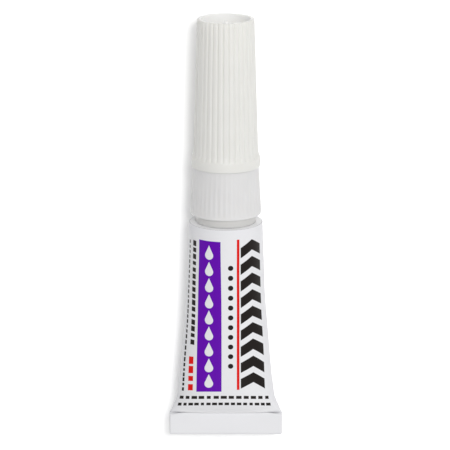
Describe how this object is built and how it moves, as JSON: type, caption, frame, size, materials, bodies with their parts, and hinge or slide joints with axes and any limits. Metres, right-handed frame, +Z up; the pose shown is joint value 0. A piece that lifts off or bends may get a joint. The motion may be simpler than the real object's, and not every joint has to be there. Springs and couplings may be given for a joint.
{
  "type": "tube of gel glue",
  "caption": "Small collapsible aluminium tube of gel glue with a twice-folded tail, a ribbed screw-on nozzle and a fluted cap whose recess holds a piercing spike.",
  "frame": {"origin": "on the surface the tube lies on, under the middle of its box", "axes": "+Y along the tube from the folded tail toward the cap, +Z up out of the printed front, +X across the width"},
  "size_m": [0.017, 0.0642, 0.011],
  "materials": {
    "enamel": "gloss",
    "bare_aluminium": "satin",
    "gel": "gloss",
    "sealing_compound": "matte",
    "natural_plastic": "satin",
    "white_plastic": "satin"
  },
  "bodies": {
    "tube": {"tube_shell": "enamel", "neck_membrane": "bare_aluminium", "glue_gel": "gel", "end_seal": "sealing_compound"},
    "nozzle": {"nozzle": "natural_plastic"},
    "cap": {"cap": "white_plastic"}
  },
  "joints": [
    {"name": "nozzle_lift", "type": "slide", "parent": "tube", "child": "nozzle", "axis": [0, 0.9994, 0.0333], "range_m": [0, 0.012]},
    {"name": "cap_lift", "type": "slide", "parent": "nozzle", "child": "cap", "axis": [0, 0.9994, 0.0333], "range_m": [0, 0.024]}
  ]
}
